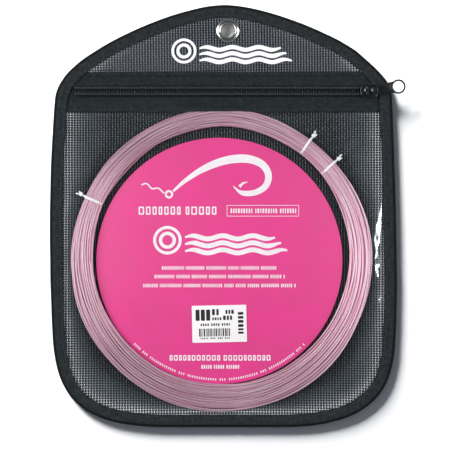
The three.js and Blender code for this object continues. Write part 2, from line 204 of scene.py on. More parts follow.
def sweep(path, section, up, closed=False, scale=None):
    """Points and faces of a closed section, [sideways, upwards] pairs, carried along a path."""
    path, section = np.asarray(path, float), np.asarray(section, float)
    n, k = len(path), len(section)
    along = unit(np.roll(path, -1, 0) - np.roll(path, 1, 0) if closed else np.gradient(path, axis=0))
    up = np.broadcast_to(np.asarray(up, float), path.shape)
    high = unit(up - (up * along).sum(1, keepdims=True) * along)
    side = np.cross(along, high)
    sections = np.broadcast_to(section, (n, k, 2)).copy()
    if scale is not None:
        sections *= np.asarray(scale, float).reshape(n, 1, -1)
    points = path[:, None] + sections[..., :1] * side[:, None] + sections[..., 1:] * high[:, None]
    faces = tube_faces(n, k, closed)
    if not closed:
        faces += [tuple(reversed(range(k))), tuple(range((n - 1) * k, n * k))]
    return points.reshape(-1, 3), faces


def ring(radius, sides, flat=1.0):
    """A round section, counter-clockwise."""
    a = np.arange(sides) / sides * 2 * np.pi
    return np.stack([radius * np.cos(a), radius * flat * np.sin(a)], 1)


def grid_faces(rows, columns, wrap=False):
    made = []
    for i in range(rows - 1):
        for j in range(columns if wrap else columns - 1):
            k = (j + 1) % columns
            made.append((i * columns + j, i * columns + k, (i + 1) * columns + k, (i + 1) * columns + j))
    return made


def plates(name, loops, low, high, material, bevel=0.0, steps=2):
    """Flat plates with rounded edges from closed loops of [x, y]; a loop inside another is a hole in it."""
    data = bpy.data.curves.new(name, "CURVE")
    data.dimensions, data.fill_mode = "2D", "BOTH"
    data.extrude = ((high - low) / 2 - bevel) * MM
    data.bevel_depth, data.bevel_resolution, data.offset = bevel * MM, steps, -bevel * MM
    for loop in loops:
        spline = data.splines.new("POLY")
        spline.points.add(len(loop) - 1)
        flat = np.zeros((len(loop), 4))
        flat[:, :2], flat[:, 3] = np.asarray(loop) * MM, 1
        spline.points.foreach_set("co", flat.ravel())
        spline.use_cyclic_u = True
    holder = bpy.data.objects.new("holder", data)
    mesh = bpy.data.meshes.new_from_object(holder)
    bpy.data.objects.remove(holder)
    bpy.data.curves.remove(data)
    work = bmesh.new()
    work.from_mesh(mesh)
    bmesh.ops.remove_doubles(work, verts=work.verts, dist=1e-6)
    bmesh.ops.recalc_face_normals(work, faces=work.faces)
    work.to_mesh(mesh)
    work.free()
    mesh.name = name
    mesh.transform(Matrix.Translation((0, 0, (low + high) / 2 * MM)))
    mesh.shade_smooth()
    mesh.set_sharp_from_angle(angle=math.radians(40))
    obj = bpy.data.objects.new(name, mesh)
    bpy.context.scene.collection.objects.link(obj)
    mesh.materials.clear()
    mesh.materials.append(material)
    return obj


# ---------------------------------------------------------------- the pouch's outline


def bezier(points, count):
    """Points and directions on a Bezier curve, its end left out."""
    points, t = np.asarray(points, float), np.arange(count)[:, None] / count
    degree = len(points) - 1

    def value(control, m):
        return sum(math.comb(m, i) * (1 - t) ** (m - i) * t**i * control[i] for i in range(m + 1))

    return value(points, degree), unit(value(np.diff(points, axis=0), degree - 1))


EDGE_STEPS, FOOT_STEPS = (10, 5, 14, 10), 4


def half_edge(knots, inset, fine):
    """One half of the pouch's edge moved inwards, from the crown down, x measured outwards."""
    knots = np.asarray(knots, float)
    parts = []
    for a, b, steps in zip(knots, knots[1:], EDGE_STEPS):
        control = [a[:2], a[:2] + a[2:4] * a[5], b[:2] - b[2:4] * b[4], b[:2]]
        parts.append(bezier(control, steps * fine))
    parts.append(bezier([knots[-1][:2], (0, BOTTOM)], FOOT_STEPS * fine))
    points = np.concatenate([p for p, _ in parts])
    along = np.concatenate([d for _, d in parts])
    return points + np.stack([along[:, 1], -along[:, 0]], 1) * inset


def outline(inset=0.0, fine=4):
    """The pouch's edge moved inwards, counter-clockwise, with the same number of points at every inset."""
    left = half_edge(LEFT_EDGE, inset, fine)[1:][::-1] * (-1, 1)
    return np.concatenate([half_edge(RIGHT_EDGE, inset, fine), [(0, BOTTOM + inset)], left])[::-1]


EDGE = outline(0, 3)


def edge_distance(points):
    """How far inside the pouch's edge each [x, y] lies. The outline is convex."""
    a, b = EDGE, np.roll(EDGE, -1, 0)
    normal = unit(np.stack([a[:, 1] - b[:, 1], b[:, 0] - a[:, 0]], 1))
    reach = (normal * a).sum(1)
    points = np.asarray(points, float).reshape(-1, 2)
    return np.concatenate([(chunk @ normal.T - reach).min(1) for chunk in np.array_split(points, 16)])


def across_pouch(across, y, inset):
    """Places on a straight line over the pouch at height y; across goes from -1 to 1 between its two edges."""
    loop = outline(inset)
    ends = []
    for side in (-1, 1):
        part = loop[loop[:, 0] * side >= 0]
        order = np.argsort(part[:, 1])
        ends.append(np.interp(y, part[order, 1], part[order, 0]))
    return np.where(across < 0, -across * ends[0], across * ends[1])


def smooth(x, low, high):
    t = np.clip((np.asarray(x, float) - low) / (high - low), 0, 1)
    return t * t * (3 - 2 * t)


# ---------------------------------------------------------------- materials

WAVE_PITCH = math.pi / 10  # a Wave texture of scale 1 repeats this often
SOCKETS = {
    "colour": "Base Color",
    "metal": "Metallic",
    "rough": "Roughness",
    "ior": "IOR",
    "alpha": "Alpha",
    "coat": "Coat Weight",
    "coat_rough": "Coat Roughness",
    "sheen": "Sheen Weight",
    "sheen_rough": "Sheen Roughness",
    "specular": "Specular IOR Level",
    "subsurface": "Subsurface Weight",
    "subsurface_scale": "Subsurface Scale",
}


class Paint:
    """A node material round one Principled shader."""

    def __init__(self, name, **fixed):
        self.material = bpy.data.materials.new(name)
        self.material.use_nodes = True
        self.tree = self.material.node_tree
        self.shader = self.tree.nodes["Principled BSDF"]
        for key, value in fixed.items():
            self.shader.inputs[SOCKETS[key]].default_value = (*value, 1) if key == "colour" else value

    def node(self, kind, inputs=None, out=0, **settings):
        made = self.tree.nodes.new("ShaderNode" + kind)
        for key, value in settings.items():
            setattr(made, key, value)
        for key, value in (inputs or {}).items():
            if isinstance(value, bpy.types.NodeSocket):
                self.tree.links.new(value, made.inputs[key])
            else:
                made.inputs[key].default_value = value
        return made.outputs[out]

    def to(self, socket, value):
        self.tree.links.new(value, self.shader.inputs[SOCKETS.get(socket, socket)])
        return self

    def place(self, source="Object"):
        """Coordinates in millimetres, from the object or from its UV layer."""
        if source == "UV":
            at, grow = self.node("UVMap", uv_map="lay"), 1
        else:
            at, grow = self.node("TexCoord", out=3), 1 / MM
        return self.node("Mapping", {"Vector": at, "Scale": (grow,) * 3})

    def noise(self, at, scale, detail=3.0, rough=0.5):
        return self.node("TexNoise", {"Vector": at, "Scale": scale, "Detail": detail, "Roughness": rough})

    def wave(self, at, scale, direction, distortion=0.0):
        inputs = {"Vector": at, "Scale": scale, "Distortion": distortion, "Detail": 1.0}
        return self.node("TexWave", inputs, bands_direction=direction)

    def ramp(self, value, *stops):
        made = self.tree.nodes.new("ShaderNodeValToRGB")
        self.tree.links.new(value, made.inputs[0])
        line = made.color_ramp.elements
        while len(line) < len(stops):
            line.new(0.5)
        for element, (at, colour) in zip(line, stops):
            element.position = at
            element.color = (*colour, 1) if hasattr(colour, "__len__") else (colour, colour, colour, 1)
        return made.outputs[0]

    def math(self, operation, a, b=0.0):
        return self.node("Math", {0: a, 1: b}, operation=operation)

    def add(self, a, b):
        return self.math("ADD", a, b)

    def times(self, a, b):
        return self.math("MULTIPLY", a, b)

    def shaded(self, colour, share):
        """A colour made darker or brighter."""
        return self.node("VectorMath", {0: colour, 3: share}, operation="SCALE")

    def bump(self, height, distance, strength):
        """distance is in millimetres."""
        inputs = {"Height": height, "Distance": distance * MM, "Strength": strength}
        return self.to("Normal", self.node("Bump", inputs))


def line_paint():
    """Pale pink monofilament: its colour drifts in streaks along the turns."""
    p = Paint("pink_line", rough=0.22, coat=0.5, coat_rough=0.1, ior=1.42, subsurface=0.3, subsurface_scale=0.0015)
    p.shader.inputs["Subsurface Radius"].default_value = (1.0, 0.6, 0.7)
    # A faint glow stands in for the light that clear turns pass on to those below them.
    p.shader.inputs["Emission Color"].default_value = (0.90, 0.56, 0.68, 1)
    p.shader.inputs["Emission Strength"].default_value = 0.065
    centre = (-COIL[0] * MM, -COIL[1] * MM, 0)
    moved = p.node("VectorMath", {0: p.node("TexCoord", out=3), 1: centre}, operation="ADD")
    x, y, z = p.node("SeparateXYZ", {0: moved}).node.outputs
    radius = p.math("SQRT", p.add(p.times(x, x), p.times(y, y)))
    angle = p.math("ARCTAN2", y, x)
    polar = p.node("CombineXYZ", {0: p.times(radius, 1 / MM), 1: p.times(angle, 2.2), 2: p.times(z, 1 / MM)})
    streak = p.noise(polar, 0.85, 4, 0.6)
    pink = p.ramp(streak, (0.32, (0.64, 0.30, 0.42)), (0.50, (0.83, 0.51, 0.62)), (0.68, (0.94, 0.76, 0.82)))
    # A tone by direction stands in for highlights: paler where turns run up and down, most on the right.
    level = p.math("DIVIDE", x, radius)
    steep = p.math("POWER", p.math("ABSOLUTE", level), 3.5)
    tone = p.add(p.times(steep, 0.42), p.add(p.times(level, 0.1), 0.56))
    p.to("colour", p.shaded(pink, tone))
    fine = p.noise(polar, 3.1, 2)
    p.to("rough", p.ramp(fine, (0.3, 0.16), (0.7, 0.34)))
    return p.bump(fine, 0.03, 0.4).material


def yarn_paint(name, dark, light, edge):
    """Coated black yarn, paler beside the binding, as a stand-in for the highlights on raised crossings.

    edge is a list of [inset in mm, painted highlight added, share of the plain colour, where a share below 1 is
    painted shade];
    the UV layer holds the inset and the height in the weave.
    """
    p = Paint(name, ior=1.5, coat=0.15, coat_rough=0.3)
    at = p.place()
    patch, fine = p.noise(at, 0.07, 2), p.noise(at, 2.6, 2)
    colour = p.ramp(p.add(p.times(patch, 0.6), p.times(fine, 0.4)), (0.3, dark), (0.7, light))
    inset, height = p.node("SeparateXYZ", {0: p.place("UV")}).node.outputs[:2]
    furthest = edge[-1][0]
    depth = p.math("DIVIDE", inset, furthest)
    paler = p.ramp(depth, *((mm / furthest, gain) for mm, gain, _ in edge))
    plain = p.ramp(depth, *((mm / furthest, share) for mm, _, share in edge))
    crossing = p.math("MAXIMUM", p.add(p.times(height, 0.72), 0.28), 0.0)
    pale = p.times(paler, p.times(crossing, p.add(p.times(patch, 0.9), 0.55)))
    # The pale added is a painted highlight, strongest on the crossings.
    painted_highlight = p.shaded((1.0, 1.03, 1.03), pale)
    p.to("colour", p.node("VectorMath", {0: p.shaded(colour, plain), 1: painted_highlight}, operation="ADD"))
    p.to("rough", p.ramp(fine, (0.3, 0.3), (0.7, 0.5)))
    return p.bump(fine, 0.05, 0.5).material


def woven_paint(name, dark, light, rib, source="Object", fold=None):
    """Narrow woven tape: ribs of one pitch across it, finer threads along it, and painted shade, near black, beside a
    fold.
    """
    p = Paint(name, sheen=0.04, sheen_rough=0.4, specular=0.15)
    at = p.place(source)
    ribs = p.wave(at, WAVE_PITCH / rib, "X")
    threads = p.wave(at, WAVE_PITCH / 0.12, "Y", 0.6)
    weave = p.times(ribs, p.add(p.times(threads, 0.5), 0.5))
    cloud, fleck = p.noise(at, 0.22, 3), p.noise(at, 0.5, 3, 0.7)
    tone = p.add(p.times(weave, 0.3), p.add(p.times(cloud, 0.2), p.times(fleck, 0.5)))
    colour = p.ramp(tone, (0.36, dark), (0.56, light))
    # Painted shade: the tape goes near black beside the fold, where it turns down.
    if fold:
        across_tape = p.node("SeparateXYZ", {0: at}).node.outputs[1]
        away = p.math("DIVIDE", p.math("ABSOLUTE", p.math("SUBTRACT", across_tape, fold)), 4.0)
        colour = p.shaded(colour, p.ramp(away, (0.5, 0.1), (0.72, 1.0)))
    p.to("colour", colour)
    p.to("rough", p.ramp(cloud, (0.3, 0.68), (0.7, 0.9)))
    return p.bump(weave, 0.09, 0.8).material


def plain_paint(name, dark, light, rough, scale, grain, bump, **fixed):
    """A moulded, painted or printed surface: a slow drift of colour and a fine grain."""
    p = Paint(name, **fixed)
    at = p.place()
    cloud = p.noise(at, scale, 3)
    fine = p.noise(at, grain, 2)
    p.to("colour", p.ramp(cloud, (0.32, dark), (0.68, light)))
    p.to("rough", p.ramp(fine, (0.3, rough[0]), (0.7, rough[1])))
    return p.bump(fine, bump, 0.5).material


def vinyl_paint():
    """Clear flexible vinyl: a thin film that mostly reflects, a little cloudy in patches."""
    p = Paint("clear_vinyl", colour=(0.93, 0.96, 1.0), metal=1.0)
    at = p.place()
    haze = p.ramp(p.noise(at, 0.05, 3), (0.35, 0.036), (0.7, 0.052))
    facing = p.node("LayerWeight", {"Blend": 0.5}, out=1)
    p.to("alpha", p.add(p.times(p.math("POWER", facing, 5.0), 0.9), haze))
    p.to("rough", p.ramp(p.noise(at, 0.3, 2), (0.3, 0.05), (0.7, 0.12)))
    return p.material


def shade_film_paint():
    """Painted shade: a dark film that stands in for the shadowed floor seen through the open mesh."""
    p = Paint("painted_shade_film", ior=1.45, specular=0.08, alpha=0.95)
    at = p.place()
    p.to("colour", p.ramp(p.noise(at, 0.09, 3), (0.3, (0.003, 0.005, 0.007)), (0.7, (0.006, 0.015, 0.016))))
    p.to("rough", p.ramp(p.noise(at, 0.8, 2), (0.3, 0.45), (0.7, 0.65)))
    return p.material


# Both yarns are paler beside the binding as a painted highlight; the back yarn's plain share of 0.25 far inside is
# painted shade.
MESH_YARN = yarn_paint(
    "mesh_yarn",
    (0.050, 0.062, 0.075),
    (0.105, 0.123, 0.143),
    ((6, 1.0, 1.0), (9, 0.85, 1.0), (11.5, 0.36, 1.0), (15, 0.12, 1.0), (20, 0.0, 1.0), (34, 0.0, 0.25)),
)
HEADER_YARN = yarn_paint(
    "header_yarn",
    (0.042, 0.051, 0.066),
    (0.086, 0.099, 0.121),
    ((6, 0.6, 1.0), (8.5, 0.38, 1.0), (11, 0.12, 1.0), (16, 0.02, 1.0), (34, 0.0, 1.0)),
)
SHADE_FILM = shade_film_paint()
VINYL = vinyl_paint()
BINDING = woven_paint("binding_tape", (0.003, 0.0045, 0.005), (0.033, 0.040, 0.044), 0.45, "UV", fold=8.5)
TAPE = woven_paint("zipper_tape", (0.003, 0.005, 0.006), (0.024, 0.032, 0.035), 0.5)
THREAD = plain_paint("thread", (0.012, 0.013, 0.015), (0.03, 0.032, 0.035), (0.5, 0.7), 1.0, 8.0, 0.03)
NYLON = plain_paint("zipper_nylon", (0.010, 0.011, 0.013), (0.022, 0.024, 0.027), (0.28, 0.42), 0.8, 5.0, 0.02)
CORD = plain_paint("filler_cord", (0.02, 0.021, 0.023), (0.045, 0.047, 0.05), (0.75, 0.9), 0.8, 7.0, 0.05)
BLACK = plain_paint(
    "black_metal", (0.0035, 0.004, 0.0045), (0.008, 0.009, 0.010), (0.16, 0.3), 0.5, 7.0, 0.012, coat=0.6, coat_rough=0.12
)
NICKEL = plain_paint("nickel", (0.56, 0.55, 0.52), (0.72, 0.71, 0.68), (0.14, 0.26), 0.6, 5.0, 0.01, metal=1.0)
LINE = line_paint()
TIE = plain_paint("tie_plastic", (0.90, 0.91, 0.90), (0.96, 0.96, 0.95), (0.4, 0.55), 0.6, 6.0, 0.03)
CARD_PINK = plain_paint("pink_card", (0.735, 0.053, 0.252), (0.815, 0.047, 0.28), (0.42, 0.55), 0.045, 3.0, 0.012)
INK_WHITE = plain_paint("white_ink", (0.86, 0.84, 0.86), (0.93, 0.92, 0.93), (0.5, 0.65), 0.3, 4.0, 0.01)
INK_BLACK = plain_paint("black_ink", (0.003, 0.003, 0.003), (0.007, 0.007, 0.007), (0.5, 0.65), 0.5, 5.0, 0.01)
PAPER = plain_paint("white_sticker", (0.93, 0.93, 0.92), (0.97, 0.97, 0.965), (0.5, 0.62), 0.2, 4.0, 0.012)
FLOOR = plain_paint("floor", (0.90, 0.90, 0.90), (0.915, 0.915, 0.915), (0.7, 0.8), 0.01, 0.5, 0.002)

# ---------------------------------------------------------------- the line and its ties


def turned_from(angle, start):
    """Degrees from start to angle, between -180 and 180."""
    return (angle - start + 540) % 360 - 180


def hump(x, width):
    """1 at 0, falling smoothly to nothing over a width or two."""
    return np.exp(-((x / width) ** 2))


def pinch(angle):
    """How far the bundle is drawn in at an angle in degrees: 1 at a tie, 0 away from them."""
    return hump(np.min([np.abs(turned_from(angle, t)) for t in TIE_ANGLES], axis=0), 7.0)


def waves(count, low, high, seed):
    """A smooth random function of an angle in degrees, about -1 to 1."""
    rng = np.random.default_rng(seed)
    cycles, phase = rng.integers(low, high + 1, count), rng.uniform(0, 2 * np.pi, count)
    weight = rng.uniform(0.5, 1, count)
    return lambda a: sum(
        w * np.sin(np.radians(a) * c + f) for w, c, f in zip(weight, cycles, phase)
    ) / np.sqrt((weight**2).sum())


ROWS, ROW_RISE = (8, 10, 11, 10, 7), 0.95  # turns in each row of the bundle, and from row to row
LOOSE_TURN = sum(ROWS[:3]) - 1
BUNDLE_HALF, BUNDLE_HIGH = 6.0, 2.42  # half its width and half its height, before it is fitted to band()
PER_TURN, FIRST_ANGLE = 84, 150.0


def turn_places():
    """Where each turn lies in the bundle's oval section: [outwards, upwards, row], wound to and fro row by row."""
    rows = []
    for row, held in enumerate(ROWS):
        high = (row - (len(ROWS) - 1) / 2) * ROW_RISE
        half = BUNDLE_HALF * math.sqrt(1 - (high / BUNDLE_HIGH) ** 2)
        across = np.linspace(-half, half, held) * (-1) ** row
        rows.append(np.stack([across, np.full(held, high), np.full(held, row)], 1))
    return np.concatenate(rows)


def band(angle):
    """The bundle's middle radius and half width at an angle in degrees: it lies slack, thinner along the top."""
    a = np.radians(angle)
    return COIL_MEAN + 0.7 + 1.7 * np.sin(a) - 0.3 * np.cos(a), (12.9 - 2.6 * np.sin(a)) / 2


def line_path():
    """The whole line, turn by turn. Each row drifts as one, each turn wanders a little, and ties draw all of it in."""
    places = turn_places()
    t = np.arange(len(places) * PER_TURN + 1) / PER_TURN
    angle = FIRST_ANGLE - 360 * t
    turn = np.minimum(t.astype(int), len(places) - 1)
    following = np.minimum(turn + 1, len(places) - 1)
    shift = smooth(t - turn, 0.8, 1.0)[:, None]
    at = places[turn] * (1 - shift) + places[following] * shift
    drift = np.stack([0.5 * waves(4, 1, 5, 40 + row)(angle) for row in range(len(ROWS))])
    drift = drift[np.clip(np.round(at[:, 2]).astype(int), 0, len(ROWS) - 1), np.arange(len(t))]
    wander = np.stack([0.42 * waves(4, 2, 9, 100 + i)(angle) for i in range(len(places))])
    wander = wander[turn, np.arange(len(t))]
    drawn = pinch(angle % 360)
    crown = 1.2 * hump(turned_from(angle, 90), 24)
    middle, half = band(angle)
    out = at[:, 0] * (half - 0.45) / BUNDLE_HALF + (drift + wander) * (1 - drawn)
    out = out * (1 - 0.15 * drawn) + crown
    # One turn on the outside lies loose for a short way.
    out += 1.7 * (turn == LOOSE_TURN) * hump(turned_from(angle, 13), 6)
    high = (at[:, 1] + 0.08 * wander) * (1 - 0.21 * drawn)
    radius, a = middle + out, np.radians(angle)
    return np.stack([COIL[0] + radius * np.cos(a), COIL[1] + radius * np.sin(a), COIL_Z + high], 1)


def blurred(points, width):
    kernel = np.hanning(width + 2)[1:-1]
    kernel /= kernel.sum()
    padded = np.concatenate([np.repeat(points[:1], width // 2, 0), points, np.repeat(points[-1:], width // 2, 0)])
    return np.stack([np.convolve(padded[:, k], kernel, "valid") for k in range(3)], 1)


path = blurred(line_path(), 9)
curve = bpy.data.curves.new("line_coil_turns", "CURVE")
curve.dimensions, curve.bevel_depth, curve.bevel_resolution = "3D", LINE_DIAMETER / 2 * MM, 2
curve.use_fill_caps = True
spline = curve.splines.new("POLY")
spline.points.add(len(path) - 1)
spline.points.foreach_set("co", np.concatenate([path * MM, np.ones((len(path), 1))], 1).ravel())
curve.materials.append(LINE)
line = bpy.data.objects.new("line_coil_turns", curve)
bpy.context.scene.collection.objects.link(line)
belongs(line, "coil", "pink_line", "line_coil")


def tie(index, angle):
    """A flat plastic strip with a wire in its middle, round the bundle, twisted and with two spread tails."""
    shape = Shape()
    # Here X points away from the coil's centre, Y goes round it, Z is up.
    around = np.radians(np.arange(64) / 64 * 360)
    middle, half = band(angle)
    reach = half * 0.85 + 0.7
    loop = np.stack([reach * np.cos(around), 0.12 * np.sin(around * 2), BUNDLE_HIGH * np.sin(around)], 1)
    away = np.stack([np.cos(around) / reach, 0 * around, np.sin(around) / BUNDLE_HIGH], 1)
    strip = np.array([
        (-0.85, 0.0), (-0.8, 0.1), (-0.3, 0.1), (0, 0.26), (0.3, 0.1),
        (0.8, 0.1), (0.85, 0.0), (0.8, -0.1), (-0.8, -0.1),
    ])
    shape.add(*sweep(loop, strip[::-1] * (0.85, 1), away, closed=True))
    narrow = np.array([(-0.55, 0.0), (-0.5, 0.09), (0, 0.2), (0.5, 0.09), (0.55, 0.0), (0, -0.12)])[::-1]
    s, u = np.linspace(0, 1, 34), np.linspace(0.05, 1, 12)
    twist = 1.6 * np.pi * s
    width = np.concatenate([np.ones(34), np.interp(u, (0, 0.12, 0.3, 1), (1.3, 2.3, 2.2, 0.2))])
    for side, length in ((1, 3.9), (-1, 2.6)):
        run = np.stack([reach - 0.05 + 1.3 * s, 0.26 * side * np.cos(twist), 0.26 * side * np.sin(twist)], 1)
        lift = np.stack([0 * s, side * np.cos(twist + 0.3), side * np.sin(twist + 0.3)], 1)
        tail = run[-1] + np.stack([length * u, side * 0.55 * u + (side < 0) * -0.7 * u**2, 0.3 * side * u], 1)
        end = np.broadcast_to(lift[-1], tail.shape) * (1 - u[:, None]) + np.array([0, 0, 1.0]) * u[:, None]
        shape.add(*sweep(np.concatenate([run, tail]), narrow, np.concatenate([lift, end]), scale=width))
    obj = shape.make("twist_tie_%d" % index, TIE)
    a = math.radians(angle)
    turned = np.array([[math.cos(a), -math.sin(a), 0], [math.sin(a), math.cos(a), 0], [0, 0, 1]])
    points = np.concatenate(shape.points) + (middle, 0, 0)
    points = points @ turned.T + (COIL[0], COIL[1], COIL_Z)
    obj.data.vertices.foreach_set("co", (points * MM).ravel())
    obj.data.update()
    return belongs(obj, "coil", "tie_plastic", "line_tie_%d" % index)


ties = [tie(i + 1, angle) for i, angle in enumerate(TIE_ANGLES)]

# ---------------------------------------------------------------- woven mesh


YARN_WIDTH, YARN_LIFT = 0.54, 0.12
WEFT_WIDTH = 0.50


def woven(name, keep, level, shade, pitch, turn, material, box, whole=False):
    """Flat yarns that pass over and under each other: one mesh if whole, else one for each direction.

    keep says which [x, y] have cloth, level gives the cloth's middle height there, and shade the inset for its
    colour. box is the lowest and highest x and y, and turn how far the weave is askew, in degrees.
    """
    x0, x1, y0, y1 = box
    columns = np.arange(math.floor(x0 / pitch[0]), math.ceil(x1 / pitch[0]) + 1)
    rows = np.arange(math.floor(y0 / pitch[1]), math.ceil(y1 / pitch[1]) + 1)
    gx, gy = np.meshgrid(columns * pitch[0], rows * pitch[1], indexing="ij")
    c, s = math.cos(math.radians(turn)), math.sin(math.radians(turn))
    flat = np.stack([c * gx - s * gy, s * gx + c * gy], -1)
    # The cloth is never quite square: its yarns bow a little.
    flat[..., 0] += 0.12 * np.sin(flat[..., 1] / 23 + 0.4) + 0.06 * np.sin(flat[..., 1] / 7.1)
    flat[..., 1] += 0.12 * np.sin(flat[..., 0] / 27 + 1.1)
    inside = keep(flat.reshape(-1, 2)).reshape(gx.shape)
    middle = level(flat.reshape(-1, 2)).reshape(gx.shape)
    over = np.where((columns[:, None] + rows[None, :]) % 2 == 0, 1.0, -1.0)
    inset = shade(flat.reshape(-1, 2)).reshape(gx.shape)
    made = []
    shape = Shape()
    for kind, lift, across, swap in (("warp", YARN_LIFT, YARN_WIDTH, False), ("weft", -YARN_LIFT, WEFT_WIDTH, True)):
        if not whole:
            shape = Shape()
        lines = np.concatenate([flat, (middle + lift * over)[..., None]], -1)
        lays = np.stack([inset, over * np.sign(lift)], -1)
        masks = inside
        if swap:
            lines, masks, lays = lines.transpose(1, 0, 2), inside.T, lays.transpose(1, 0, 2)
        foot, head = across / 2, across / 2 * 0.82
        section = np.array([(-foot, -0.1), (foot, -0.1), (head, 0.13), (-head, 0.13)])
        for run, mask, uv in zip(lines, masks, lays):
            cut = np.flatnonzero(np.diff(np.concatenate([[0], mask.astype(int), [0]])))
            for first, last in zip(cut[::2], cut[1::2]):
                if last - first > 1:
                    shape.add(*sweep(run[first:last], section, (0, 0, 1.0)), uv=uv[first:last].repeat(4, 0))
        if whole and not swap:
            continue
        obj = shape.make(name if whole else name + "_" + kind, material, with_uv=True)
        made.append(belongs(obj, "pouch", "mesh_fabric"))
    return made


def clear_of_grommet(points, radius=4.5):
    return np.hypot(points[:, 0] - GROMMET[0], points[:, 1] - GROMMET[1]) > radius


def back_level(points):
    """The back cloth's middle: level inside the binding, and a step lower behind the zipper and the pocket."""
    inset = edge_distance(points)
    drop = smooth(inset, 7.0, 12.5) * (1 - smooth(points[:, 1], 75.5, 80))
    return 1.27 - 0.97 * drop


def in_back(points):
    return (edge_distance(points) > BACK_INSET) & clear_of_grommet(points)


def in_header(points):
    return (edge_distance(points) > HEADER_INSET) & clear_of_grommet(points) & (points[:, 1] > HEADER_FOOT)


def back_shade(points):
    """The inset that colours the back cloth, with painted shade: darker behind the header and the slit, and close to
    the coil.
    """
    x, y = points[:, 0], points[:, 1]
    reach = np.hypot(x - COIL[0], y - COIL[1])
    near = smooth(97 - reach, 0, 12) * 15 * smooth(edge_distance(points), 9, 14)
    hidden = (y > 81) | (np.abs(y - CHAIN_Y) < 2.5)
    return np.where(hidden, 40, edge_distance(points) + near)


def header_shade(points):
    """The header is palest in its two tips, a painted highlight."""
    return np.minimum(edge_distance(points) + 4 - 4.5 * smooth(np.abs(points[:, 0]), 52, 74), 30)


back_warp, back_weft = woven(
    "back_mesh", in_back, back_level, back_shade, (1.59, 1.41), 0.0, MESH_YARN, (-98, 98, -120, 120)
)
(header_mesh,) = woven(
    "header_mesh",
    in_header,
    lambda p: np.full(len(p), 2.05),
    header_shade,
    (1.575, 1.43),
    0.9,
    HEADER_YARN,
    (-100, 100, 76, 124),
    whole=True,
)


def shell(name, upper, lower, material):
    """A closed sheet from rings of points, outermost first: its two faces and the rims between them."""
    rings, count = len(upper), len(upper[0])
    points = np.concatenate([np.concatenate(upper), np.concatenate(lower)])
    faces = grid_faces(rings, count, wrap=True)
    under = [tuple(i + rings * count for i in f[::-1]) for f in faces]
    for first, flip in ((0, False), ((rings - 1) * count, True)):
        for j in range(count):
            k = (j + 1) % count
            rim = (first + j, first + j + rings * count, first + k + rings * count, first + k)
            faces.append(rim[::-1] if flip else rim)
    return make(name, points, faces + under, material)


def rings_towards(border, target, distances, more):
    """Loops from border towards target, first at set distances in, then in even shares of what is left."""
    length = np.linalg.norm(target - border, axis=1)
    total = len(distances) + more
    made = []
    for k in range(total + 1):
        even = np.full(len(border), k / total)
        if k < len(distances):
            share = np.minimum(distances[k] / length, even)
        else:
            last = np.minimum(distances[-1] / length, (len(distances) - 1) / total)
            share = last + (1 - last) * (k - len(distances) + 1) / (more + 1)
        made.append(border + (target - border) * share[:, None])
    return made


def shade_film_sheet():
    """A thin sheet of painted shade just under the back cloth, with a hole for the grommet."""
    border = outline(1.7)
    centre = np.array(GROMMET)
    loops = rings_towards(border, centre + unit(border - centre) * 4.6, (0, 2, 4, 5.4, 6.8, 8.2, 9.6, 11, 14), 24)
    heights = [back_level(loop) - 0.26 for loop in loops]
    upper = [np.concatenate([loop, h[:, None]], 1) for loop, h in zip(loops, heights)]
    return shell("painted_shade_film", upper, [u - (0, 0, 0.04) for u in upper], SHADE_FILM)


film = belongs(shade_film_sheet(), "pouch", "mesh_fabric")
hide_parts("back_panel")
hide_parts("header_panel")


def area(loop):
    x, y = loop[:, 0], loop[:, 1]
    return abs((x * np.roll(y, -1) - y * np.roll(x, -1)).sum()) / 2 * MM * MM


area(outline(BACK_INSET))
area(np.array([p for p in outline(HEADER_INSET) if p[1] > HEADER_FOOT]))

# ---------------------------------------------------------------- the clear window


def tape_under(points):
    """Underside of the lower tape, which the coil lifts in the middle."""
    x, y = points[:, 0], points[:, 1]
    return 1.8 + 3.55 * np.exp(-((x / 44) ** 2) - (x / 62) ** 4) * (1 - smooth(y, 58.6, 66.5))


def window_level(points):
    """The window's middle height: up from the binding and the tape, over the coil, and sagging inside it."""
    x, y = points[:, 0], points[:, 1]
    inset = edge_distance(points)
    edge = np.where(y > 57, np.minimum(tape_under(points) - 0.25, 6), 2.12)
    edge = 2.12 + (edge - 2.12) * smooth(y, 50, 58)
    rim = np.maximum(np.minimum(inset - 7.3, (60.6 - y) * 1.1), 0)
    reach = np.hypot(x - COIL[0], y - COIL[1])
    beyond = np.maximum(reach - 85, 0)
    share = rim / (rim + 0.9 * beyond + 0.9)
    power = 0.85 + 0.35 * smooth(rim + beyond, 9, 34)
    top = 6.72 - 2.3 * smooth(72 - reach, 0, 66)
    level = edge + (top - edge) * share**power
    # Soft creases: long ones across the middle, short ones where it turns down to the binding.
    turn = np.degrees(np.arctan2(y - COIL[1], x - COIL[0]))
    held = smooth(y, -46, -30) * (1 - smooth(y, -14, 8)) * (x > 0) * np.exp(-(((rim - 3) / 2.5) ** 2))
    short = 0.16 * waves(6, 18, 44, 7)(turn) * np.exp(-(((reach - 90) / 6) ** 2)) * smooth(rim, 0.4, 3)
    inner = smooth(66 - reach, 0, 30)
    long_ = inner * (0.22 * np.sin(x / 15 + y / 34 + 0.6) + 0.12 * np.sin(y / 9 - x / 22))
    wobble = 0.07 * held * (np.sin(y / 0.55 + x) + np.sin(y / 1.7 + 1.3 * x + 1.7))
    return level + short + long_ + wobble


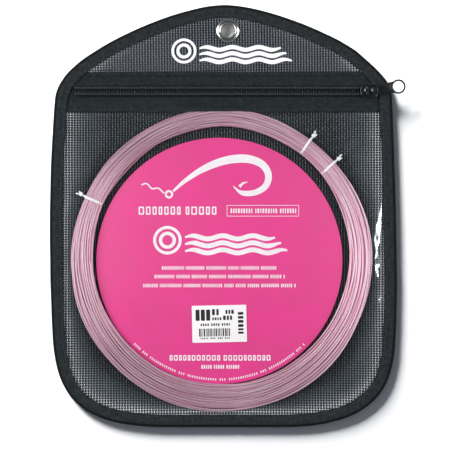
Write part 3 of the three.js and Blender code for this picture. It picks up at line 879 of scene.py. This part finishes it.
def clear_window():
    border = outline(2.1)
    border[:, 1] = np.minimum(border[:, 1], WINDOW_HEAD)
    centre = np.array([[0.0, -28.0]])
    steps = (0, 2, 4, 5, 5.6, 6.2, 6.8, 7.4, 8, 8.7, 9.5, 10.4, 11.5, 13, 15, 17.5, 20.5, 24)
    loops = rings_towards(border, np.broadcast_to(centre, border.shape), steps, 16)[:-1]
    middle = np.concatenate([np.concatenate([p, window_level(p)[:, None]], 1) for p in loops])
    count, rings = len(border), len(loops)
    hub = np.append(centre[0], window_level(centre.reshape(1, 2))[0])
    upper = np.concatenate([middle + (0, 0, 0.1), [hub + (0, 0, 0.1)]])
    lower = np.concatenate([middle - (0, 0, 0.1), [hub - (0, 0, 0.1)]])
    faces = grid_faces(rings, count, wrap=True)
    last = (rings - 1) * count
    faces += [(last + j, last + (j + 1) % count, rings * count) for j in range(count)]
    under = [tuple(i + len(upper) for i in f[::-1]) for f in faces]
    rim = [(j, j + len(upper), (j + 1) % count + len(upper), (j + 1) % count) for j in range(count)]
    obj = make("clear_window", np.concatenate([upper, lower]), faces + under + rim, VINYL)
    belongs(obj, "pouch", "clear_vinyl", "front_window")
    return obj


window = clear_window()

# ---------------------------------------------------------------- the folded binding


def edge_binding():
    """A woven tape folded round the edge, drawn down a little along its stitches."""
    outer = [
        (7.35, 2.92), (7.4, 3.1), (7.2, 3.24), (6.7, 3.27), (6.2, 3.2), (STITCH_INSET, 3.1), (5.7, 3.2),
        (5.1, 3.3), (3.8, 3.36), (2.6, 3.34), (1.6, 3.22), (0.8, 2.95), (0.28, 2.5), (0.05, 2.0),
    ]
    under = [(inset, BINDING_TOP - z) for inset, z in outer[::-1]]
    inner = [
        (7.2, 0.72), (3.5, 0.72), (1.6, 0.74), (1.0, 0.95), (0.8, 1.4),
        (0.8, 1.9), (1.0, 2.35), (1.6, 2.56), (3.5, 2.6), (7.2, 2.62),
    ]
    section = np.array(outer + under + inner)
    count = len(outline(0, 6))
    bow = np.arange(count) / count * 360
    sway = 0.11 * waves(8, 9, 60, 21)(bow)
    loops = []
    for inset, z in section:
        loop = outline(inset, 6)
        lean = unit(outline(inset + 0.5, 6) - loop)
        top_side = smooth(z, 1.4, 2.4)
        loop = loop + lean * (sway * (0.5 + 0.5 * (inset > 6)) * top_side)[:, None]
        height = z + (0.05 * waves(6, 20, 90, 33)(bow) if 2 < inset < 7 and z > 2.9 else 0)
        loops.append(np.column_stack([loop, np.broadcast_to(height, count)]))
    points = np.stack(loops, 1)
    faces = tube_faces(count, len(section), flip=True)
    uv = np.stack(np.meshgrid(along_line(points[:, 0]), along_line(section), indexing="ij"), -1).reshape(-1, 2)
    obj = make("edge_binding_tape", points.reshape(-1, 3), faces, BINDING, uv=uv)
    return belongs(obj, "pouch", "binding_tape", "edge_binding")


def binding_stitches():
    """One row of lockstitches through the binding, seen on both faces."""
    loop = outline(STITCH_INSET, 12)
    walk = np.concatenate([loop, loop[:1]])
    along = along_line(walk)
    count = int(along[-1] / 3.1)
    section = ring(0.17, 6, 0.8)
    shape = Shape()
    for face in (1, -1):
        for i in range(count):
            s = (i + 0.1 + 0.8 * np.linspace(0, 1, 6)) * along[-1] / count
            arch = np.sin(np.linspace(0, 1, 6) * np.pi) * 0.14
            z = 3.13 + arch if face > 0 else 0.17 - arch * 0.9
            run = np.stack([np.interp(s, along, walk[:, 0]), np.interp(s, along, walk[:, 1]), z], 1)
            shape.add(*sweep(run, section, (0, 0, 1.0)))
    return belongs(shape.make("binding_stitches", THREAD), "pouch", "binding_tape")


binding = edge_binding()
stitches = binding_stitches()

# ---------------------------------------------------------------- the zipper


def tape_sheet(name, node, rows, height):
    """A woven tape across the pouch. rows are [y, thickness above the sheet] from one edge to the other."""
    across = np.linspace(-1, 1, 181)
    upper, lower = [], []
    for y, lift in rows:
        x = across_pouch(across, y, HEADER_INSET)
        points = np.stack([x, np.full(len(x), y)], 1)
        base = height(points)
        ripple = 0.05 * np.sin(x / 9 + y) * (1 - np.abs(across) ** 6)
        upper.append(np.column_stack([points, base + 0.42 + lift + ripple]))
        lower.append(np.column_stack([points, base + ripple]))
    count, lines = len(across), len(rows)
    points = np.concatenate(upper + lower)
    low = lines * count
    top = grid_faces(lines, count)
    faces = top + [tuple(i + low for i in f[::-1]) for f in top]
    for j in range(count - 1):
        faces.append((j + 1, j, j + low, j + 1 + low))
        a = (lines - 1) * count + j
        faces.append((a, a + 1, a + 1 + low, a + low))
    for i in range(lines - 1):
        a, b = i * count, (i + 1) * count
        faces.append((a, b, b + low, a + low))
        a, b = a + count - 1, b + count - 1
        faces.append((b, a, a + low, b + low))
    belongs(make(name, points, faces, TAPE), "pouch", "zipper_tape", node)


def upper_level(points):
    return np.full(len(points), TAPE_Z)


def lower_level(points):
    return np.maximum(tape_under(points), TAPE_Z)


UPPER_ROWS = [
    (71.45, 0.0), (71.8, 0.05), (73.9, 0.0), (74.1, 0.1), (74.4, 0.1), (74.6, 0.0), (76.3, 0.0), (76.5, 0.1),
    (76.8, 0.1), (77.0, 0.0), (79.4, 0.02), (79.6, 0.34), (80.6, 0.4), (81.3, 0.36), (81.5, 0.2),
]
LOWER_ROWS = [
    (58.85, 0.0), (59.0, 0.1), (59.5, 0.14), (60.4, 0.14), (61.2, 0.06), (62.0, 0.0), (63.0, 0.0), (64.3, 0.0),
    (64.5, 0.08), (64.8, 0.08), (65.0, 0.0), (66.7, 0.0), (66.9, 0.1), (67.2, 0.1), (67.4, 0.0), (69.5, 0.05),
    (69.85, 0.0),
]
tape_sheet("zipper_tape_top", "zipper_tape_upper", UPPER_ROWS, upper_level)
tape_sheet("zipper_tape_low", "zipper_tape_lower", LOWER_ROWS, lower_level)


def zipper_side(side, sign):
    """One side of the chain: a nylon helix round a twisted cord, and the thread that sews it to its tape."""
    y, pitch = CHAIN_Y + sign * NYLON_OFFSET, 1.27
    turns = int(2 * (CHAIN_HALF - 0.4) / pitch)
    t = np.arange(turns * 14 + 1) / 14
    a = t * 2 * np.pi
    x = (t - turns / 2) * pitch
    inner = sign * np.cos(a) < 0  # the half towards the other side, where each loop has its head
    loop = np.stack([x + 0.16 * np.sin(2 * a), y + np.cos(a) * 1.2, CHAIN_Z + 0.86 * np.sin(a)], 1)
    width = np.where(inner, 1.1, 0.95)
    middle = np.stack([x, np.full(len(x), y), np.full(len(x), CHAIN_Z)], 1)
    shape = Shape()
    scale = blurred(width[:, None].repeat(3, 1), 5)[:, :2]
    shape.add(*sweep(loop, ring(0.25, 6, 0.85), loop - middle, scale=scale))
    belongs(shape.make("nylon_helix_" + side, NYLON), "pouch", "zipper_nylon", "zipper_coil_" + side)

    run = np.linspace(-CHAIN_HALF, CHAIN_HALF, 520)
    twist = run / 1.9 * 2 * np.pi
    lift = np.stack([0 * run, np.sin(twist), np.cos(twist)], 1)
    strands = np.arange(12) / 12 * 2 * np.pi
    radius = 0.34 * (1 + 0.16 * np.cos(3 * strands))
    section = np.stack([radius * np.cos(strands), radius * np.sin(strands)], 1)
    centre = np.stack([run, np.full(len(run), y), np.full(len(run), CHAIN_Z)], 1)
    shape = Shape()
    shape.add(*sweep(centre, section, lift))
    belongs(shape.make("twisted_cord_" + side, CORD), "pouch", "filler_cord", "filler_cord_" + side)

    shape = Shape()
    for shift, phase in ((0.28, 0.0), (-0.42, 0.5)):
        at = np.linspace(x[0], x[-1], turns * 6)
        over = np.cos((at - x[0]) / pitch * 2 * np.pi + phase * 2 * np.pi)
        z = 4.46 + 0.16 * over
        row = np.stack([at, np.full(len(at), y + sign * shift) + 0.08 * over, z], 1)
        shape.add(*sweep(row, ring(0.13, 5), (0, 0, 1.0)))
    belongs(shape.make("chain_thread_" + side, THREAD), "pouch", "zipper_tape")


zipper_side("upper", 1)
zipper_side("lower", -1)


SEAM_PITCH, STITCH_LENGTH = 2.9, 2.2


def seam(name, points, z):
    """A row of stitches along a line, at height z or at the height that z gives for its points."""
    along = along_line(points)
    shape = Shape()
    for i in range(int(along[-1] / SEAM_PITCH)):
        s = i * SEAM_PITCH + np.linspace(0, STITCH_LENGTH, 5)
        p = np.stack([np.interp(s, along, points[:, k]) for k in range(points.shape[1])], 1)
        lift = np.sin(np.linspace(0, np.pi, 5)) * 0.1
        height = z(p) if callable(z) else np.full(5, z)
        shape.add(*sweep(np.column_stack([p[:, :2], height + lift]), ring(0.14, 5, 0.8), (0, 0, 1.0)))
    belongs(shape.make(name, THREAD), "pouch", "zipper_tape")


def straight(y, inset=8.0):
    x = across_pouch(np.linspace(-1, 1, 90), y, inset)
    return np.stack([x, np.full(len(x), y)], 1)


seam("tape_seam_upper", straight(80.2), 2.68)
seam("tape_seam_lower", straight(60.1), lambda p: lower_level(p) + 0.62)

# ---------------------------------------------------------------- slider and pull


def arc(cx, cy, radius, start, end, count=12):
    a = np.radians(np.linspace(start, end, count))
    return np.stack([cx + radius * np.cos(a), cy + radius * np.sin(a)], 1)


def rounded(corners, radius, count=5):
    """A polygon with its corners rounded, the same way round."""
    corners = np.asarray(corners, float)
    radius = np.broadcast_to(radius, len(corners))
    made = []
    for i, corner in enumerate(corners):
        before, after = corners[i - 1], corners[(i + 1) % len(corners)]
        a = corner + unit(before - corner) * radius[i]
        b = corner + unit(after - corner) * radius[i]
        t = np.linspace(0, 1, count)[:, None]
        made.append((1 - t) ** 2 * a + 2 * t * (1 - t) * corner + t**2 * b)
    return np.concatenate(made)


def joined(name, parts, material):
    """Several meshes as one piece."""
    work = bmesh.new()
    for part in parts:
        work.from_mesh(part.data)
        mesh = part.data
        bpy.data.objects.remove(part)
        bpy.data.meshes.remove(mesh)
    mesh = bpy.data.meshes.new(name)
    work.to_mesh(mesh)
    work.free()
    mesh.shade_smooth()
    mesh.set_sharp_from_angle(angle=math.radians(40))
    mesh.materials.append(material)
    obj = bpy.data.objects.new(name, mesh)
    bpy.context.scene.collection.objects.link(obj)
    return obj


def slider():
    x, y = SLIDER_X, CHAIN_Y
    plan = [
        (-5, 0), (-4.4, -2.6), (-2.2, -3.9), (2.6, -4.4), (5, -3.2),
        (4.6, 0), (5, 3.2), (2.6, 4.4), (-2.2, 3.9), (-4.4, 2.6),
    ]
    top = rounded(plan, (0.8, 0.7, 1.2, 1.5, 1.1, 0.8, 1.1, 1.5, 1.2, 0.7)) + (x, y)
    low = rounded([(-4.4, -2.3), (-2.4, -3.4), (2.2, -3.6), (2.2, 3.6), (-2.4, 3.4), (-4.4, 2.3)], 0.9) + (x, y)
    neck = rounded([(0.4, -0.5), (2.2, -0.5), (2.2, 0.5), (0.4, 0.5)], 0.25) + (x, y)
    parts = [
        plates("top", [top], 4.92, 5.82, BLACK, 0.3, 3),
        plates("low", [low], 0.82, 1.5, BLACK, 0.22, 2),
        plates("neck", [neck], 1.4, 5.0, BLACK, 0.05, 1),
    ]
    for sign in (1, -1):
        rail = np.array([(-3.6, 3.12), (2.4, 3.2), (2.4, 3.8), (-3.4, 3.7)]) * (1, sign)
        rail = rail if sign > 0 else rail[::-1]
        parts.append(plates("rail", [rounded(rail, 0.2) + (x, y)], 2.62, 5.0, BLACK, 0.06, 1))
    belongs(joined("slider_plates", parts, BLACK), "slider", "black_metal", "slider_body")

    # The cap is a strip bent into a low arch, wider at its feet.
    run = np.concatenate([
        [(-3.05, 0.0)], [(-3.05, 0.8)], arc(-1.95, 1.2, 1.1, 180, 90, 7) + (0, 0.12),
        [(-0.5, 2.36)], arc(0.95, 1.2, 1.1, 90, 0, 7) + (0, 0.12), [(2.05, 0.8)], [(2.05, 0.0)],
    ])
    path3 = np.stack([x + run[:, 0], np.full(len(run), y), 6.05 + run[:, 1]], 1)
    away = path3 - (x - 0.5, y, 6.9)
    width = 1 + 0.28 * np.abs(np.linspace(-1, 1, len(run))) ** 2
    section = rounded([(-0.95, -0.36), (0.95, -0.36), (0.95, 0.36), (-0.95, 0.36)], 0.3, 4)
    shape = Shape()
    shape.add(*sweep(path3, section[::-1], away, scale=np.stack([width, np.ones(len(run))], 1)))
    belongs(shape.make("slider_arch", BLACK), "slider", "black_metal", "slider_cap")


def pull():
    """The tab: a bar under the cap, a slot, an arm that widens into a ring."""
    ring_at, outer, hole, eye, waist = 17.7, 4.1, 3.1, 3.0, 2.5
    loop = np.concatenate([
        arc(0.4, -eye + 1, 1, 180, 270, 5),
        [(5.8, -eye)],
        [(6.9, -eye + 0.25)],
        [(8.2, -waist)],
        arc(ring_at, 0, outer, -128, 128, 48),
        [(8.2, waist)],
        [(6.9, eye - 0.25)],
        [(5.8, eye)],
        arc(0.4, eye - 1, 1, 90, 180, 5),
    ])
    slot = rounded([(0.6, -1.9), (5.6, -1.9), (5.6, 1.9), (0.6, 1.9)], (0.3, 1.0, 1.0, 0.3), 6)
    a = math.radians(PULL_YAW)
    turn = np.array([[math.cos(a), math.sin(a)], [-math.sin(a), math.cos(a)]])
    loops = [p @ turn + PIVOT[:2] for p in (loop, slot, arc(ring_at, 0, hole, 0, 360 - 7.5, 48))]
    z = PIVOT[2]
    tab = plates("pull_tab_plate", loops, z - 0.5, z + 0.5, BLACK, 0.22, 3)
    belongs(tab, "pull", "black_metal", "pull_tab")


slider()
pull()

# ---------------------------------------------------------------- grommet


def turned(name, profile, node):
    """A closed profile of [radius, z] turned about the grommet's centre."""
    profile = np.asarray(profile, float)
    count = 96
    a = np.arange(count) / count * 2 * np.pi
    x = GROMMET[0] + np.outer(np.cos(a), profile[:, 0])
    y = GROMMET[1] + np.outer(np.sin(a), profile[:, 0])
    points = np.stack([x, y, np.broadcast_to(profile[:, 1], x.shape)], -1).reshape(-1, 3)
    belongs(make(name, points, tube_faces(count, len(profile), flip=True), NICKEL), "pouch", "nickel", node)


turned(
    "grommet_rim",
    [
        (4.18, 0.02), (4.2, 2.5), (4.4, 2.62), (5.6, 2.62), (6.35, 2.62), (6.6, 2.72), (6.58, 2.86), (6.3, 3.06),
        (5.8, 3.3), (5.2, 3.42), (4.6, 3.36), (4.2, 3.18), (3.95, 2.9), (3.82, 2.5), (3.8, 1.9), (3.8, 0.3),
        (3.86, 0.04), (4.0, 0.0),
    ],
    "grommet_eyelet",
)
turned(
    "grommet_back",
    [(4.5, 0.08), (4.7, 0.0), (6.1, 0.0), (6.35, 0.1), (6.4, 0.35), (6.3, 0.6), (6.0, 0.7), (4.7, 0.7), (4.5, 0.6)],
    "grommet_washer",
)

# ---------------------------------------------------------------- floor

FLOOR_HALF, FLOOR_Z = 1500, -0.02
corners = [(x * FLOOR_HALF, y * FLOOR_HALF, FLOOR_Z) for x, y in ((-1, -1), (1, -1), (1, 1), (-1, 1))]
floor = make("floor", corners, [(0, 1, 2, 3)], FLOOR, False)
light_only(floor_key, floor)
light_only(left_key, floor, window, leave_out=True)
light_only(right_key, floor, window, leave_out=True)
light_only(glint, window)

# ---------------------------------------------------------------- card and sticker


def card():
    edge = arc(*CARD, CARD_RADIUS, 0, 358.5, 240)
    obj = plates("card_disc", [edge], CARD_BOTTOM, CARD_TOP, CARD_PINK, 0.12, 2)
    belongs(obj, "card", "pink_card", "label_card")


STICKER_ASKEW = math.radians(1.2)


def turned_label(points):
    """The label is stuck on a little askew."""
    a = STICKER_ASKEW
    turn = np.array([[math.cos(a), math.sin(a)], [-math.sin(a), math.cos(a)]])
    return (np.asarray(points) - STICKER) @ turn + STICKER


def sticker():
    w, h = STICKER_SIZE
    corners = rounded([(-w / 2, -h / 2), (w / 2, -h / 2), (w / 2, h / 2), (-w / 2, h / 2)], 0.4, 4) + STICKER
    corners = turned_label(corners)
    obj = plates("barcode_label", [corners], *STICKER_Z, PAPER, 0.05, 1)
    belongs(obj, "card", "white_sticker", "barcode_sticker")


card()
sticker()

# ---------------------------------------------------------------- prints, all of them plain motifs and blocks


def curve_through(points):
    """A smooth line through a few points."""
    points = np.asarray(points, float)
    ends = np.concatenate([2 * points[:1] - points[1:2], points, 2 * points[-1:] - points[-2:-1]])
    made = []
    for a, b, c, d in zip(ends, ends[1:], ends[2:], ends[3:]):
        t = np.linspace(0, 1, max(64 // (len(points) - 1), 4), endpoint=False)[:, None]
        bend, twist = 2 * a - 5 * b + 4 * c - d, 3 * b - 3 * c + d - a
        made.append(0.5 * (2 * b + (c - a) * t + bend * t**2 + twist * t**3))
    return np.concatenate([*made, points[-1:]])


def stroke(points, *widths):
    """The outline of a brush stroke through points, its width going through widths at even steps."""
    line = curve_through(points)
    along = unit(np.gradient(line, axis=0))
    half = np.interp(np.linspace(0, 1, len(line)), np.linspace(0, 1, len(widths)), widths)[:, None] / 2
    off = np.stack([-along[:, 1], along[:, 0]], 1) * half
    return np.concatenate([line + off, (line - off)[::-1]])


def circle(x, y, radius):
    return arc(x, y, radius, 0, 354, 60)


def block(x, y, width, height):
    """A small rounded rectangle standing on y."""
    corners = [(x, y), (x + width, y), (x + width, y + height), (x, y + height)]
    return rounded(corners, min(width, height) * 0.2, 3)


def row(x0, x1, y, height, seed, wide=0.62, word=6):
    """Blocks in groups, as a line of small print looks."""
    rng = np.random.default_rng(seed)
    made, x, left = [], x0, int(rng.integers(word - 3, word + 4))
    while True:
        width = height * wide * rng.uniform(0.7, 1.15)
        if x + width > x1:
            return made
        made.append(block(x, y, width, height))
        left -= 1
        x += width + max(height * 0.24, 0.5) * (1 if left else 2.6)
        left = left or int(rng.integers(word - 3, word + 4))


def framed(shapes, line):
    """Each block as an outline of one line width."""
    made = []
    for p in shapes:
        low, high = p.min(0), p.max(0)
        made += [p, low + line + (p - low) * (high - low - 2 * line) / (high - low)]
    return made


def coil_and_waves(x, y, size, length, height):
    """A ring of line with rows of water to its right. y is the foot of both."""
    r = size / 2
    shapes = [circle(x + r, y + r, q) for q in (r, r * 0.79, r * 0.6, r * 0.36)]
    start, thick = x + size * 1.12, height * 0.225
    for i in range(3):
        along = np.linspace(0, length - i * 0.06 * length, 60)
        swell = y + thick * (0.7 + 1.55 * i) + 0.35 * thick * np.sin(along / height * 4.2)
        widths = [thick * 0.4, *[thick * 1.05] * 8, thick * 0.4]
        shapes.append(stroke(np.stack([start + along, swell], 1), *widths))
    return shapes


def printed(name, shapes, low, high, material, body, slot):
    """A film of ink from low to high."""
    belongs(plates(name, shapes, low, high, material), body, slot)


motif = coil_and_waves(-30, 86.3, 14.2, 52.5, 10.0)
printed("header_print", motif, 2.31, 2.37, INK_WHITE, "pouch", "mesh_fabric")

hook = [
    (-29, 14), (-22, 20), (-12, 26.5), (0, 31.2), (12, 32.4), (21, 29.5),
    (25, 23.5), (23.5, 17), (17.5, 13.2), (10, 13), (5, 16.8),
]
emblem = [
    stroke(hook, 1.2, 2.6, 4.2, 4.8, 4.2, 3.8, 3.4, 3.0, 0.3),
    stroke([(8.6, 16.4), (10.6, 18.4), (13.4, 19.2)], 1.8, 1.2, 0.2),
    circle(-31.4, 12.2, 2.4),
    circle(-31.4, 12.2, 1.2),
    stroke([(-34.2, 12.8), (-37.5, 15.6), (-41, 15.4), (-44, 18.2), (-47, 17.6)], 0.8, 0.8),
]
card_print = [
    *emblem,
    *framed(row(-48.6, -4.2, 0.6, 4.6, 5, 0.62, 6), 0.75),
    *row(3.6, 41.0, 1.5, 2.6, 6, 0.34, 9),
    *coil_and_waves(-40.4, -22.0, 16.2, 58.0, 11.4),
    *row(-35.4, 30.2, -30.6, 2.0, 7, 0.36, 8),
    *row(-39.6, 34.4, -35.5, 2.0, 8, 0.36, 8),
    *row(-46.0, 41.0, -40.6, 2.0, 9, 0.36, 8),
    *framed(row(-31.0, 27.6, -82.2, 3.1, 10, 0.66, 9), 0.62),
    *row(-13.0, 9.0, -86.8, 2.1, 11, 0.4, 8),
]
for y in (-0.35, 5.75):
    card_print.append(block(1.4, y, 41.0, 0.28))
for x in (1.4, 42.1):
    card_print.append(block(x, 0.05, 0.28, 5.6))
# Ticks along the card's lower edge, in groups.
for i, a in enumerate(np.radians(np.arange(224.5, 315.5, 1.12))):
    if i % 9 not in (4, 8) or i % 2:
        at = np.array([math.cos(a), math.sin(a)])
        across = np.array([-at[1], at[0]])
        corners = [at * r + across * w for r, w in ((66.7, -0.3), (68.0, -0.3), (68.0, 0.3), (66.7, 0.3))]
        card_print.append(np.array(corners) + CARD)
printed("card_print", card_print, CARD_TOP + 0.005, CARD_TOP + 0.035, INK_WHITE, "card", "pink_card")

# Bars of chance widths, which hold no code, and blocks in place of figures and words.
bars, x = [], -14.4
for width, gap in np.random.default_rng(3).choice([0.28, 0.42, 0.62, 0.84], (24, 2)):
    if x + width > 4.4:
        break
    bars.append(block(x, -68.4, width, 4.5))
    x += width + gap * 0.62 + 0.1
marks = [
    *bars,
    *(block(x, -59.4, 2.3, 6.3) for x in (-16.2, -13.2, -10.2)),
    *row(-6.8, -2.2, -56.4, 3.5, 20, 0.5, 5),
    *row(-6.8, -1.4, -59.2, 1.6, 21),
    *row(0.8, 6.0, -55.8, 2.3, 22),
    *row(-0.6, 6.0, -59.2, 2.5, 23),
    *row(-13.4, 3.2, -62.4, 1.4, 24, 0.6, 5),
    *row(-13.6, 4.2, -69.9, 1.0, 25, 0.6, 5),
    *(p[:, ::-1] * (-1, 1) + (10.9, 0) for p in row(-67.2, -54.6, 0.0, 3.1, 26, 0.5, 9)),
]
marks = [turned_label(p) for p in marks]
printed("label_marks", marks, STICKER_Z[1] + 0.003, STICKER_Z[1] + 0.02, INK_BLACK, "card", "white_sticker")
